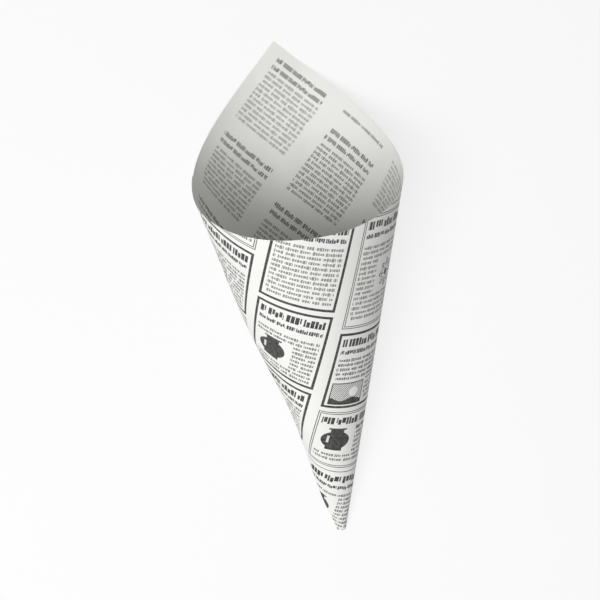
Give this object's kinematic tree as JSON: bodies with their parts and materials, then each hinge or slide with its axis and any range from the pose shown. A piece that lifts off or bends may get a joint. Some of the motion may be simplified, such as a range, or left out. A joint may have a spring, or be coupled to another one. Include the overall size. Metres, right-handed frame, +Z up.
{
  "type": "greaseproof paper cone",
  "caption": "Empty food cone rolled from one sheet of greaseproof paper, with a blunt tip, a sloping open mouth and a tall square corner at the back, lying on its back.",
  "frame": {"origin": "on the surface that the cone lies on, under the centre of its bounding box", "axes": "+Z up, +Y along the cone from its tip to the tall corner at its mouth, +X to the right as seen from above with the mouth away"},
  "size_m": [0.099, 0.2488, 0.0871],
  "materials": {
    "paper": "matt greaseproof paper, printed in dark grey with columns, rules and boxes of small marks, with no real words"
  },
  "bodies": {
    "root": {"paper_cone": "paper"}
  },
  "joints": []
}
